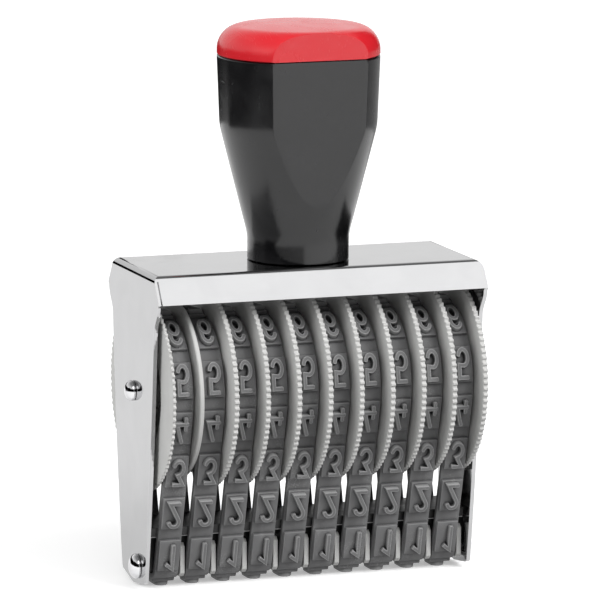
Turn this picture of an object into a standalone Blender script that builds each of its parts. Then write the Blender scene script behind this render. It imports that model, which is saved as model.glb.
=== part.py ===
"""Band numbering stamp: ten rubber number bands on knurled setting wheels, in a pressed steel frame.

Metres, +Z up. X runs along the wheel axle and -Y is the front. Z = 0 is the plane that the bottom
row of characters prints on, and the origin is under the middle of the frame.
"""

import math

import bmesh
import bpy
from mathutils import Matrix, Vector

# Fits between pieces
CLEARANCE = 0.0003
RUNNING_FIT = 0.0001
CUT_OVERRUN = 0.002
MERGE = 0.000001

# Number bands
BAND_COUNT = 10
BAND_WIDTH = 0.0054
BAND_SIDE_GAP = 0.00033
BAND_BASE = 0.0012
TILE_COUNT = 14
TILE_LENGTH = 0.0072
TILE_INSET = 0.00035
TILE_RISE = 0.0011
TILE_ROOT = 0.0007
CHARACTER_RISE = 0.0007
PLATEN_HALF_DEPTH = 0.0035
PLATEN_BEND = 0.0012

# Setting wheels, their spacer and their axle
WALL = 0.0010
DRUM_RADIUS = 0.0146
WHEEL_TIP_RADIUS = 0.0217
KNURL_DEPTH = 0.0007
KNURL_COUNT = 80
SPACER_RADIUS = 0.0194
AXLE_DIAMETER = 0.0035
AXLE_NECK_DIAMETER = 0.0028

# Bridge, the bar inside the bands that presses the bottom characters down
BRIDGE_HEIGHT = 0.0102
BRIDGE_FLANGE_HEIGHT = 0.0022
BRIDGE_FLANGE_DRAFT = 0.0003
BRIDGE_TO_WHEEL = 0.0072

# Rivets that hold the bridge, and the heads on them and on the axle
HEAD_DIAMETER = 0.0044
HEAD_HEIGHT = 0.0019
RIVET_DIAMETER = 0.0018
RIVET_GRIP = 0.0040
RIVET_FORWARD = 0.0028
RIVET_RISE = 0.0016

# Guides, the forks that keep the bands apart at the bottom
GUIDE_LEG = 0.0013
GUIDE_SOLE = 0.0008
GUIDE_HEIGHT = 0.0074
GUIDE_CHAMFER = 0.0008

# Frame, pressed from one sheet
SHEET = 0.0011
WHEEL_TO_FRAME = 0.0004
SCREW_TO_WHEEL = 0.0012
BEND_RADIUS = 0.0016
TOP_HALF_DEPTH = 0.0136
VISOR_FLARE = 0.0037
VISOR_DROP = 0.0058
VISOR_END_SLIT = 0.00025
SLIT_OVERCUT = 0.00002
LIP = 0.0005
SHOULDER_HALF_DEPTH = 0.0141
SHOULDER_DROP = 0.0122
FOOT_HALF_DEPTH = 0.0078
FOOT_LOW_Z = 0.0005
FOOT_RISE = 0.0019
FOOT_ROUND = 0.0010
SIDE_BULGE = 0.0006

# Handle, turned with a flat facet in front and behind; heights count from the frame's top
NECK_RADIUS = 0.01095
NECK_HEIGHT = 0.0054
CREASE_HEIGHT = 0.0290
CREASE_SOFTNESS = 0.0012
SEAM_RADIUS = 0.01755
SEAM_HEIGHT = 0.0442
UPPER_TAPER = 0.0006
FACET_CUT = 0.0037
FACET_TAPER = 0.0013
CAP_HEIGHT = 0.0064
CAP_EDGE_ROUND = 0.0051
CAP_CROWN = 0.0004
SPIGOT_RADIUS = 0.0045
SPIGOT_LENGTH = 0.0040

# Screw that holds the handle
SCREW_DIAMETER = 0.0040
SCREW_LENGTH = 0.0162
SCREW_HEAD_DIAMETER = 0.0070
SCREW_HEAD_HEIGHT = 0.0015
SCREW_SLOT_WIDTH = 0.0011
SCREW_SLOT_DEPTH = 0.0008
WASHER_DIAMETER = 0.0092
WASHER_THICKNESS = 0.0007

# Facets of round pieces, and shares that shape soft edges
HANDLE_STEPS = 36
DRUM_STEPS = 32
WRAP_STEPS = 18
SPACER_STEPS = 48
ROD_STEPS = 16
ARC_STEPS = 5
BEND_STEPS = 3
CREASE_SHARE = 0.25
CROWN_RADIUS_SHARE = 0.5
CROWN_RISE_SHARE = 0.75
FLAT_ANGLE = math.radians(0.05)
SHARP_ANGLE = math.radians(35)

# Places that follow from the sizes above
BAND_PITCH = BAND_WIDTH + 2 * BAND_SIDE_GAP + WALL
CHANNEL = BAND_PITCH - WALL
INNER_BAND_Z = TILE_RISE + CHARACTER_RISE + BAND_BASE
INNER_BAND_RADIUS = DRUM_RADIUS + CLEARANCE
BRIDGE_Z = INNER_BAND_Z + CLEARANCE
BRIDGE_TOP_Z = BRIDGE_Z + BRIDGE_HEIGHT
BRIDGE_HALF_DEPTH = PLATEN_HALF_DEPTH + PLATEN_BEND - CLEARANCE
AXLE_Z = BRIDGE_TOP_Z + BRIDGE_TO_WHEEL + WHEEL_TIP_RADIUS
WASHER_Z = AXLE_Z + WHEEL_TIP_RADIUS + SCREW_TO_WHEEL + SCREW_HEAD_HEIGHT + CLEARANCE
TOP_Z = WASHER_Z + WASHER_THICKNESS + CLEARANCE + SHEET
INNER_X = BAND_COUNT * BAND_PITCH / 2 + WALL / 2 + WHEEL_TO_FRAME
FRAME_WIDTH = 2 * (INNER_X + SHEET)
VISOR_HALF_DEPTH = TOP_HALF_DEPTH + VISOR_FLARE
VISOR_BOTTOM_Z = TOP_Z - VISOR_DROP
SHOULDER_Z = TOP_Z - SHOULDER_DROP
FOOT_Z = FOOT_LOW_Z + FOOT_RISE
NECK_TOP_Z = TOP_Z + NECK_HEIGHT
CREASE_Z = TOP_Z + CREASE_HEIGHT
SEAM_Z = TOP_Z + SEAM_HEIGHT
CAP_TOP_Z = SEAM_Z + CAP_HEIGHT
CREASE_RADIUS = SEAM_RADIUS - UPPER_TAPER
CONE_SLOPE = (CREASE_RADIUS - NECK_RADIUS) / (CREASE_HEIGHT - NECK_HEIGHT)
FACET_SLOPE = FACET_TAPER / (SEAM_Z - NECK_TOP_Z)

# Turns that lay a plate's outline in the YZ or XZ plane, or a turned piece's axis along X
TURNED_TO_X = (0.0, math.pi / 2, 0.0)
OUTLINE_TO_YZ = (math.pi / 2, 0.0, math.pi / 2)
OUTLINE_TO_XZ = (math.pi / 2, 0.0, 0.0)


def clear_scene():
    for obj in list(bpy.data.objects):
        bpy.data.objects.remove(obj, do_unlink=True)
    for collection in list(bpy.data.collections):
        bpy.data.collections.remove(collection)


def make_collection(name):
    collection = bpy.data.collections.new(name)
    bpy.context.scene.collection.children.link(collection)
    return collection


def make_material(name, colour, roughness, metallic):
    material = bpy.data.materials.new(name)
    material.use_nodes = True
    shader = material.node_tree.nodes["Principled BSDF"]
    shader.inputs["Base Color"].default_value = (*colour, 1.0)
    shader.inputs["Roughness"].default_value = roughness
    shader.inputs["Metallic"].default_value = metallic
    material.diffuse_color = (*colour, 1.0)
    return material


clear_scene()
PARTS = make_collection("band_numbering_stamp")
CUTTERS = make_collection("cutters")
CHROME = make_material("chromed_steel", (0.80, 0.80, 0.81), 0.18, 1.0)
BRIGHT_STEEL = make_material("bright_steel", (0.74, 0.74, 0.75), 0.22, 1.0)
ZINC_STEEL = make_material("zinc_plated_steel", (0.55, 0.56, 0.58), 0.35, 1.0)
BLACK_STEEL = make_material("blackened_steel", (0.02, 0.02, 0.02), 0.45, 0.6)
BLACK_PLASTIC = make_material("black_plastic", (0.012, 0.012, 0.013), 0.22, 0.0)
RED_PLASTIC = make_material("red_plastic", (0.62, 0.02, 0.025), 0.25, 0.0)
GREY_PLASTIC = make_material("light_grey_plastic", (0.62, 0.62, 0.60), 0.45, 0.0)
RUBBER = make_material("dark_grey_rubber", (0.13, 0.13, 0.13), 0.65, 0.0)


def add_part(name, mesh, material, smooth=False):
    """A finished piece of the stamp."""
    obj = bpy.data.objects.new(name, mesh)
    PARTS.objects.link(obj)
    mesh.materials.clear()
    mesh.materials.append(material)
    if smooth:
        mesh.shade_smooth()
        mesh.set_sharp_from_angle(angle=SHARP_ANGLE)
    return obj


def add_cutter(name, mesh):
    """A shape that is only used to cut or to join."""
    obj = bpy.data.objects.new(name, mesh)
    CUTTERS.objects.link(obj)
    obj.hide_render = True
    obj.display_type = "WIRE"
    return obj


def combine(obj, other, operation):
    modifier = obj.modifiers.new(f"{operation.lower()} {other.name}", "BOOLEAN")
    modifier.operation = operation
    modifier.object = other
    modifier.solver = "EXACT"


def evaluated_mesh(obj, name):
    """The object's shape after its modifiers, as a mesh of its own."""
    bpy.context.view_layer.update()
    graph = bpy.context.evaluated_depsgraph_get()
    mesh = bpy.data.meshes.new_from_object(obj.evaluated_get(graph))
    mesh.name = name
    return mesh


def tidy(mesh):
    """Welds a mesh that came from a curve and turns its faces outwards."""
    work = bmesh.new()
    work.from_mesh(mesh)
    bmesh.ops.remove_doubles(work, verts=work.verts, dist=MERGE)
    bmesh.ops.dissolve_limit(
        work, angle_limit=FLAT_ANGLE, verts=work.verts, edges=work.edges, delimit=set()
    )
    bmesh.ops.recalc_face_normals(work, faces=work.faces)
    work.to_mesh(mesh)
    work.free()
    return mesh


def outline_mesh(name, loops, thickness):
    """A flat plate: its outlines lie in local XY and its thickness runs along local Z."""
    curve = bpy.data.curves.new(name, "CURVE")
    curve.dimensions = "2D"
    curve.fill_mode = "BOTH"
    curve.extrude = thickness / 2
    for points in loops:
        spline = curve.splines.new("POLY")
        spline.points.add(len(points) - 1)
        for point, (x, y) in zip(spline.points, points):
            point.co = (x, y, 0.0, 1.0)
        spline.use_cyclic_u = True
    guide = bpy.data.objects.new(name, curve)
    CUTTERS.objects.link(guide)
    mesh = tidy(evaluated_mesh(guide, name))
    bpy.data.objects.remove(guide, do_unlink=True)
    bpy.data.curves.remove(curve)
    return mesh


def turned_mesh(name, profile, steps):
    """A profile of (radius, height) points, from top to bottom, turned about local Z."""
    line = bpy.data.meshes.new(name)
    edges = [(i, i + 1) for i in range(len(profile) - 1)]
    line.from_pydata([(radius, 0.0, height) for radius, height in profile], edges, [])
    guide = bpy.data.objects.new(name, line)
    CUTTERS.objects.link(guide)
    screw = guide.modifiers.new("turn", "SCREW")
    screw.steps = steps
    screw.render_steps = steps
    screw.use_merge_vertices = True
    screw.merge_threshold = MERGE
    mesh = tidy(evaluated_mesh(guide, name))
    bpy.data.objects.remove(guide, do_unlink=True)
    return mesh


def box_mesh(name, size, place=Matrix.Identity(4)):
    mesh = bpy.data.meshes.new(name)
    work = bmesh.new()
    shape = place @ Matrix.Diagonal((*size, 1.0))
    bmesh.ops.create_cube(work, size=1, matrix=shape)
    work.to_mesh(mesh)
    work.free()
    return mesh


def cylinder_mesh(name, radius, length, steps):
    mesh = bpy.data.meshes.new(name)
    work = bmesh.new()
    bmesh.ops.create_cone(
        work, cap_ends=True, segments=steps, radius1=radius, radius2=radius, depth=length
    )
    work.to_mesh(mesh)
    work.free()
    return mesh


def arc(centre, radius, start, end, steps):
    """Points on an arc, with angles in radians counted from the first axis."""
    turn = [start + (end - start) * i / steps for i in range(steps + 1)]
    return [(centre[0] + radius * math.cos(a), centre[1] + radius * math.sin(a)) for a in turn]


def band_x(index):
    """The middle of band number index along the axle, counted from 0 at the left."""
    return (index - (BAND_COUNT - 1) / 2) * BAND_PITCH


class BandPath:
    """The closed way of a band round its drum and under the bridge, in (Y, Z).

    The way is the hull of the drum's circle and two small circles at the platen's corners. An
    offset counts outwards from the band's inner surface.
    """

    def __init__(self):
        self.corner = (PLATEN_HALF_DEPTH, INNER_BAND_Z + PLATEN_BEND)
        across = PLATEN_HALF_DEPTH
        up = AXLE_Z - self.corner[1]
        between = math.hypot(across, up)
        self.tilt = math.asin((INNER_BAND_RADIUS - PLATEN_BEND) / between) - math.atan2(across, up)
        self.run = math.sqrt(between**2 - (INNER_BAND_RADIUS - PLATEN_BEND) ** 2)

    def loop(self, offset):
        """The closed outline at this offset, starting at the bottom of the +Y corner."""
        corner_y, corner_z = self.corner
        small = PLATEN_BEND + offset
        large = INNER_BAND_RADIUS + offset
        points = arc((corner_y, corner_z), small, -math.pi / 2, -self.tilt, BEND_STEPS)
        points += arc((0.0, AXLE_Z), large, -self.tilt, math.pi + self.tilt, WRAP_STEPS)
        points += arc(
            (-corner_y, corner_z), small, math.pi + self.tilt, 3 * math.pi / 2, BEND_STEPS
        )
        return points

    def length(self, offset):
        bend = (PLATEN_BEND + offset) * (math.pi / 2 - self.tilt)
        wrap = (INNER_BAND_RADIUS + offset) * (math.pi / 2 + self.tilt)
        return 2 * (PLATEN_HALF_DEPTH + bend + self.run + wrap)

    def place(self, distance, offset):
        """Point and outward normal at this distance from the bottom middle, up the front."""
        corner_y, corner_z = self.corner
        small = PLATEN_BEND + offset
        large = INNER_BAND_RADIUS + offset
        bend = small * (math.pi / 2 - self.tilt)
        wrap = 2 * large * (math.pi / 2 + self.tilt)
        total = self.length(offset)
        if distance > total / 2 + MERGE:
            point, normal = self.place(total - distance, offset)
            return (-point[0], point[1]), (-normal[0], normal[1])
        if distance < PLATEN_HALF_DEPTH:
            return (-distance, corner_z - small), (0.0, -1.0)
        distance -= PLATEN_HALF_DEPTH
        if distance < bend:
            angle = distance / small
            normal = (-math.sin(angle), -math.cos(angle))
            return (small * normal[0] - corner_y, corner_z + small * normal[1]), normal
        distance -= bend
        normal = (-math.cos(self.tilt), -math.sin(self.tilt))
        if distance < self.run:
            start = (small * normal[0] - corner_y, corner_z + small * normal[1])
            along = (normal[1], -normal[0])
            return (start[0] + along[0] * distance, start[1] + along[1] * distance), normal
        angle = self.tilt - min(distance - self.run, wrap) / large
        normal = (-math.cos(angle), -math.sin(angle))
        return (large * normal[0], AXLE_Z + large * normal[1]), normal


def side_outline():
    """The outline of the whole frame seen from the side, in (Y, Z), for +Y; mirrored for -Y."""
    half = [(TOP_HALF_DEPTH, TOP_Z), (VISOR_HALF_DEPTH, VISOR_BOTTOM_Z)]
    neck_top = VISOR_BOTTOM_Z - LIP
    sweep = VISOR_HALF_DEPTH - LIP - SHOULDER_HALF_DEPTH
    for i in range(ARC_STEPS + 1):
        share = i / ARC_STEPS
        ease = (1 + math.cos(math.pi * share)) / 2
        half.append((SHOULDER_HALF_DEPTH + sweep * ease, neck_top + (SHOULDER_Z - neck_top) * share))
    for i in range(1, ARC_STEPS):
        share = i / ARC_STEPS
        depth = SHOULDER_HALF_DEPTH + (FOOT_HALF_DEPTH - SHOULDER_HALF_DEPTH) * share
        height = SHOULDER_Z + (FOOT_Z - SHOULDER_Z) * share
        half.append((depth + SIDE_BULGE * math.sin(math.pi * share), height))
    half.append((FOOT_HALF_DEPTH, FOOT_Z + FOOT_ROUND))
    for i in range(1, ARC_STEPS):
        angle = math.pi / 2 * i / ARC_STEPS
        depth = FOOT_HALF_DEPTH * math.cos(angle)
        half.append((depth, FOOT_LOW_Z + (FOOT_Z - FOOT_LOW_Z) * (1 - math.sin(angle))))
    middle = [(0.0, FOOT_LOW_Z)]
    return half + middle + [(-y, z) for y, z in reversed(half)]


def front_outline():
    """The frame's outline seen from the front, in (X, Z): straight legs and rounded top corners."""
    low = FOOT_LOW_Z - CUT_OVERRUN
    bend_x = FRAME_WIDTH / 2 - BEND_RADIUS
    bend_z = TOP_Z - BEND_RADIUS
    quarter = math.pi / 2
    points = [(FRAME_WIDTH / 2, low)]
    points += arc((bend_x, bend_z), BEND_RADIUS, 0.0, quarter, BEND_STEPS)
    points += arc((-bend_x, bend_z), BEND_RADIUS, quarter, math.pi, BEND_STEPS)
    return points + [(-FRAME_WIDTH / 2, low)]


def hollow_outline():
    """What is open under the top and between the visors, in (Y, Z)."""
    drop = TOP_Z - VISOR_BOTTOM_Z
    flare = VISOR_HALF_DEPTH - TOP_HALF_DEPTH
    inset = SHEET * math.hypot(drop, flare) / drop
    ceiling = TOP_Z - SHEET
    half = [
        (TOP_HALF_DEPTH + SHEET * flare / drop - inset, ceiling),
        (VISOR_HALF_DEPTH - inset, VISOR_BOTTOM_Z),
        (VISOR_HALF_DEPTH + CUT_OVERRUN, VISOR_BOTTOM_Z),
        (VISOR_HALF_DEPTH + CUT_OVERRUN, FOOT_LOW_Z - 2 * CUT_OVERRUN),
    ]
    return half + [(-y, z) for y, z in reversed(half)]


def add_cross_hole(name, y, z, radius, half_length):
    """A cutter for a hole along X that goes through both side plates."""
    hole = add_cutter(name, cylinder_mesh(name, radius, 2 * half_length, ROD_STEPS))
    hole.rotation_euler = TURNED_TO_X
    hole.location = (0.0, y, z)
    return hole


def build_frame():
    depth = 2 * (VISOR_HALF_DEPTH + CUT_OVERRUN)
    block = outline_mesh("frame", [front_outline()], depth)
    frame = add_part("frame", block, CHROME, smooth=True)
    frame.rotation_euler = OUTLINE_TO_XZ
    trim_mesh = outline_mesh("frame_side_trim", [side_outline()], FRAME_WIDTH + CUT_OVERRUN)
    trim = add_cutter("frame_side_trim", trim_mesh)
    trim.rotation_euler = OUTLINE_TO_YZ
    combine(frame, trim, "INTERSECT")
    hollow_mesh = outline_mesh("frame_hollow", [hollow_outline()], 2 * INNER_X)
    hollow = add_cutter("frame_hollow", hollow_mesh)
    hollow.rotation_euler = OUTLINE_TO_YZ
    combine(frame, hollow, "DIFFERENCE")
    slit_width = VISOR_END_SLIT + SLIT_OVERCUT
    slit_height = TOP_Z - SHEET - VISOR_BOTTOM_Z + CUT_OVERRUN
    for name, side in (("slit_left", -1.0), ("slit_right", 1.0)):
        slit = add_cutter(name, box_mesh(name, (slit_width, depth, slit_height)))
        slit.location.x = side * (INNER_X + SLIT_OVERCUT - slit_width / 2)
        slit.location.z = TOP_Z - SHEET - slit_height / 2
        combine(frame, slit, "DIFFERENCE")
    half_length = FRAME_WIDTH / 2 + CUT_OVERRUN
    axle_hole = AXLE_NECK_DIAMETER / 2 + CLEARANCE
    rivet_hole = RIVET_DIAMETER / 2 + CLEARANCE
    combine(frame, add_cross_hole("axle_holes", 0.0, AXLE_Z, axle_hole, half_length), "DIFFERENCE")
    rivet_cut = add_cross_hole(
        "rivet_holes", -RIVET_FORWARD, BRIDGE_Z + RIVET_RISE, rivet_hole, half_length
    )
    combine(frame, rivet_cut, "DIFFERENCE")
    screw_hole_mesh = cylinder_mesh(
        "screw_hole", SCREW_DIAMETER / 2 + CLEARANCE, 2 * SHEET + CUT_OVERRUN, ROD_STEPS
    )
    screw_hole = add_cutter("screw_hole", screw_hole_mesh)
    screw_hole.location = (0.0, 0.0, TOP_Z - SHEET / 2)
    combine(frame, screw_hole, "DIFFERENCE")


def dome_profile(base):
    """A rivet head's curve, from its crown out to its rim, as (radius, distance along the rod)."""
    radius = HEAD_DIAMETER / 2
    dome = [(0.0, base + HEAD_HEIGHT)]
    for i in range(1, ARC_STEPS + 1):
        angle = math.pi / 2 * (1 - i / ARC_STEPS)
        dome.append((radius * math.cos(angle), base + HEAD_HEIGHT * math.sin(angle)))
    return dome


def build_axle():
    """A rod with shoulders inside the plates and domed heads outside them."""
    shoulder = INNER_X - CLEARANCE
    head_base = FRAME_WIDTH / 2 + CLEARANCE
    neck = AXLE_NECK_DIAMETER / 2
    half = dome_profile(head_base)
    half += [(neck, head_base), (neck, shoulder), (AXLE_DIAMETER / 2, shoulder)]
    profile = half + [(radius, -x) for radius, x in reversed(half)]
    mesh = turned_mesh("wheel_axle", profile, ROD_STEPS)
    axle = add_part("wheel_axle", mesh, BRIGHT_STEEL, smooth=True)
    axle.rotation_euler = TURNED_TO_X
    axle.location.z = AXLE_Z


def knurl_outline():
    points = []
    for i in range(2 * KNURL_COUNT):
        radius = WHEEL_TIP_RADIUS - KNURL_DEPTH * (i % 2)
        angle = math.pi * i / KNURL_COUNT
        points.append((radius * math.cos(angle), radius * math.sin(angle)))
    return points


def wheel_mesh():
    """One setting wheel: the knurled disc on the right of its drum, with the bore along local Z."""
    disc_mesh = outline_mesh("wheel_disc", [knurl_outline()], WALL)
    disc_mesh.transform(Matrix.Translation((0.0, 0.0, CHANNEL / 2 + WALL / 2)))
    disc = add_cutter("wheel_disc", disc_mesh)
    drum_start = CLEARANCE - CHANNEL / 2
    drum_end = CHANNEL / 2 + WALL / 2
    drum_mesh = cylinder_mesh("wheel_drum", DRUM_RADIUS, drum_end - drum_start, DRUM_STEPS)
    drum = add_cutter("wheel_drum", drum_mesh)
    drum.location.z = (drum_start + drum_end) / 2
    bore_radius = AXLE_DIAMETER / 2 + RUNNING_FIT
    bore_mesh = cylinder_mesh("wheel_bore", bore_radius, 2 * BAND_PITCH + CUT_OVERRUN, ROD_STEPS)
    bore = add_cutter("wheel_bore", bore_mesh)
    combine(disc, drum, "UNION")
    combine(disc, bore, "DIFFERENCE")
    mesh = evaluated_mesh(disc, "setting_wheel")
    for helper in (disc, drum, bore):
        bpy.data.objects.remove(helper, do_unlink=True)
    return mesh


def build_wheels():
    """Wheel 1 is turned round, so its disc is beside the left plate; the others face right."""
    mesh = wheel_mesh()
    for index in range(BAND_COUNT):
        wheel = add_part(f"setting_wheel_{index + 1:02d}", mesh, GREY_PLASTIC, smooth=True)
        wheel.rotation_euler = TURNED_TO_X
        if index == 0:
            wheel.rotation_euler.y = -math.pi / 2
        wheel.location = (band_x(index), 0.0, AXLE_Z)


def build_spacer():
    """The plain disc between the first two bands."""
    bore = AXLE_DIAMETER / 2 + RUNNING_FIT
    rim = arc((0.0, 0.0), SPACER_RADIUS, 0.0, 2 * math.pi, SPACER_STEPS)[:-1]
    hole = arc((0.0, 0.0), bore, 0.0, 2 * math.pi, ROD_STEPS)[:-1]
    mesh = outline_mesh("spacer_disc", [rim, hole], WALL)
    spacer = add_part("spacer_disc", mesh, GREY_PLASTIC)
    spacer.rotation_euler = OUTLINE_TO_YZ
    spacer.location = (band_x(0) + CHANNEL / 2 + WALL / 2, 0.0, AXLE_Z)


def band_mesh(path):
    """One endless band: a plain belt with a raised tile for each character."""
    belt_mesh = outline_mesh("band_belt", [path.loop(BAND_BASE), path.loop(0.0)], BAND_WIDTH)
    belt = add_cutter("band_belt", belt_mesh)
    pitch = path.length(BAND_BASE / 2) / TILE_COUNT
    tile_height = TILE_ROOT + TILE_RISE + CHARACTER_RISE
    work = bmesh.new()
    for index in range(TILE_COUNT):
        (y, z), (normal_y, normal_z) = path.place(index * pitch, BAND_BASE / 2)
        middle = BAND_BASE / 2 - TILE_ROOT + tile_height / 2
        tilt = math.atan2(normal_y, normal_z)
        place = Matrix.Translation((y + normal_y * middle, z + normal_z * middle, 0.0))
        place @= Matrix.Rotation(-tilt, 4, "Z")
        tile_width = BAND_WIDTH - 2 * TILE_INSET
        shape = place @ Matrix.Diagonal((TILE_LENGTH, tile_height, tile_width, 1.0))
        bmesh.ops.create_cube(work, size=1, matrix=shape)
    tile_data = bpy.data.meshes.new("band_tiles")
    work.to_mesh(tile_data)
    work.free()
    tiles = add_cutter("band_tiles", tile_data)
    combine(belt, tiles, "UNION")
    mesh = evaluated_mesh(belt, "number_band")
    for helper in (belt, tiles):
        bpy.data.objects.remove(helper, do_unlink=True)
    return mesh


def build_bands(path):
    mesh = band_mesh(path)
    for index in range(BAND_COUNT):
        band = add_part(f"number_band_{index + 1:02d}", mesh, RUBBER)
        band.rotation_euler = OUTLINE_TO_YZ
        band.location.x = band_x(index)


def bridge_outline(path):
    """The bridge in section, in (Y, Z): a bar with rounded lower edges and a wider top flange."""
    corner_y, corner_z = path.corner
    edge_round = PLATEN_BEND - CLEARANCE
    flange_z = BRIDGE_TOP_Z - BRIDGE_FLANGE_HEIGHT
    half = arc((corner_y, corner_z), edge_round, -math.pi / 2, 0.0, BEND_STEPS)
    half.append((BRIDGE_HALF_DEPTH, flange_z - BRIDGE_FLANGE_DRAFT))
    for z in (flange_z, BRIDGE_TOP_Z):
        reach = edge_round + (z - corner_z) * math.sin(path.tilt)
        half.append((corner_y + reach / math.cos(path.tilt), z))
    return half + [(-y, z) for y, z in reversed(half)]


def build_bridge(path):
    """The bar, and the two rivets that hold it between the side plates."""
    bar_end = INNER_X - CLEARANCE
    bar_mesh = outline_mesh("bridge_bar", [bridge_outline(path)], 2 * bar_end)
    bar = add_part("bridge_bar", bar_mesh, BLACK_STEEL)
    bar.rotation_euler = OUTLINE_TO_YZ
    rivet_z = BRIDGE_Z + RIVET_RISE
    shank = RIVET_DIAMETER / 2
    head_base = FRAME_WIDTH / 2 + CLEARANCE
    shank_end = bar_end - RIVET_GRIP
    profile = dome_profile(head_base) + [(shank, head_base), (shank, shank_end), (0.0, shank_end)]
    mesh = turned_mesh("bridge_rivet", profile, ROD_STEPS)
    for name, turn in (("right", math.pi / 2), ("left", -math.pi / 2)):
        rivet = add_part(f"bridge_rivet_{name}", mesh, BRIGHT_STEEL, smooth=True)
        rivet.rotation_euler.y = turn
        rivet.location = (0.0, -RIVET_FORWARD, rivet_z)
        depth = RIVET_GRIP + CLEARANCE
        socket_mesh = cylinder_mesh("socket", shank + CLEARANCE, 2 * depth, ROD_STEPS)
        socket = add_cutter(f"rivet_socket_{name}", socket_mesh)
        socket.rotation_euler = TURNED_TO_X
        socket.location = (math.copysign(bar_end, turn), -RIVET_FORWARD, rivet_z)
        combine(bar, socket, "DIFFERENCE")


def build_guides():
    """A fork on the right of each band, pushed over the bridge from below."""
    thickness = BAND_PITCH - BAND_WIDTH - 2 * CLEARANCE
    slot = BRIDGE_HALF_DEPTH + CLEARANCE
    outer = slot + GUIDE_LEG
    bottom = INNER_BAND_Z - GUIDE_SOLE
    top = bottom + GUIDE_HEIGHT
    half = [
        (outer - GUIDE_CHAMFER, bottom),
        (outer, bottom + GUIDE_CHAMFER),
        (outer, top - GUIDE_CHAMFER),
        (outer - GUIDE_CHAMFER, top),
        (slot, top),
        (slot, INNER_BAND_Z),
    ]
    outline = half + [(-y, z) for y, z in reversed(half)]
    mesh = outline_mesh("band_guide", [outline], thickness)
    for index in range(BAND_COUNT):
        guide = add_part(f"band_guide_{index + 1:02d}", mesh, GREY_PLASTIC)
        guide.rotation_euler = OUTLINE_TO_YZ
        guide.location.x = band_x(index) + BAND_PITCH / 2


def facet_depth(z):
    """How far a facet lies from the handle's axis; it leans in by the taper from seam to neck."""
    return SEAM_RADIUS - FACET_CUT - FACET_SLOPE * (SEAM_Z - z)


def facet_cutters():
    """Two large blocks whose inner faces are the handle's front and back facets."""
    tilt = math.atan(FACET_SLOPE)
    middle_z = (SEAM_Z + NECK_TOP_Z) / 2
    thickness = SEAM_RADIUS
    size = (2 * SEAM_RADIUS + CUT_OVERRUN, thickness, 2 * (CAP_TOP_Z - NECK_TOP_Z))
    cutters = []
    for name, side in (("facet_front", -1.0), ("facet_back", 1.0)):
        block = add_cutter(name, box_mesh(name, size))
        block.rotation_euler.x = -side * tilt
        outward = Vector((0.0, side * math.cos(tilt), -math.sin(tilt)))
        face = Vector((0.0, side * facet_depth(middle_z), middle_z))
        block.location = face + outward * (thickness / 2)
        cutters.append(block)
    return cutters


def screw_head_top():
    return WASHER_Z - CLEARANCE


def body_profile():
    """The handle from its top face down to its foot, with the cap's socket and the screw's bore."""
    socket_radius = SPIGOT_RADIUS + CLEARANCE
    socket_z = SEAM_Z - SPIGOT_LENGTH - CLEARANCE
    foot_z = TOP_Z + CLEARANCE
    bore_radius = SCREW_DIAMETER / 2 + CLEARANCE
    upper_slope = (SEAM_RADIUS - CREASE_RADIUS) / (SEAM_Z - CREASE_Z)
    soft = CREASE_SOFTNESS
    screw_end = screw_head_top() + SCREW_LENGTH + CLEARANCE
    return [
        (0.0, socket_z),
        (socket_radius, socket_z),
        (socket_radius, SEAM_Z),
        (SEAM_RADIUS, SEAM_Z),
        (CREASE_RADIUS + soft * upper_slope, CREASE_Z + soft),
        (CREASE_RADIUS - soft * (CONE_SLOPE - upper_slope) * CREASE_SHARE, CREASE_Z),
        (CREASE_RADIUS - soft * CONE_SLOPE, CREASE_Z - soft),
        (NECK_RADIUS + soft * CONE_SLOPE, NECK_TOP_Z + soft),
        (NECK_RADIUS + soft * CONE_SLOPE * CREASE_SHARE, NECK_TOP_Z),
        (NECK_RADIUS, NECK_TOP_Z - soft),
        (NECK_RADIUS, foot_z),
        (bore_radius, foot_z),
        (bore_radius, screw_end),
        (0.0, screw_end),
    ]


def cap_profile():
    """The cap from the middle of its top down to the end of its spigot."""
    under_z = SEAM_Z + CLEARANCE
    round_z = CAP_TOP_Z - CAP_EDGE_ROUND
    round_radius = SEAM_RADIUS - CAP_EDGE_ROUND
    crown = [
        (0.0, CAP_TOP_Z + CAP_CROWN),
        (round_radius * CROWN_RADIUS_SHARE, CAP_TOP_Z + CAP_CROWN * CROWN_RISE_SHARE),
    ]
    edge = arc((round_radius, round_z), CAP_EDGE_ROUND, math.pi / 2, 0.0, ARC_STEPS + 1)
    spigot_end = SEAM_Z - SPIGOT_LENGTH
    lower = [(SEAM_RADIUS, under_z), (SPIGOT_RADIUS, under_z)]
    return crown + edge + lower + [(SPIGOT_RADIUS, spigot_end), (0.0, spigot_end)]


def build_handle():
    cutters = facet_cutters()
    for name, profile, material in (
        ("handle_body", body_profile(), BLACK_PLASTIC),
        ("handle_cap", cap_profile(), RED_PLASTIC),
    ):
        piece = add_part(name, turned_mesh(name, profile, HANDLE_STEPS), material, smooth=True)
        for cutter in cutters:
            combine(piece, cutter, "DIFFERENCE")


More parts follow.
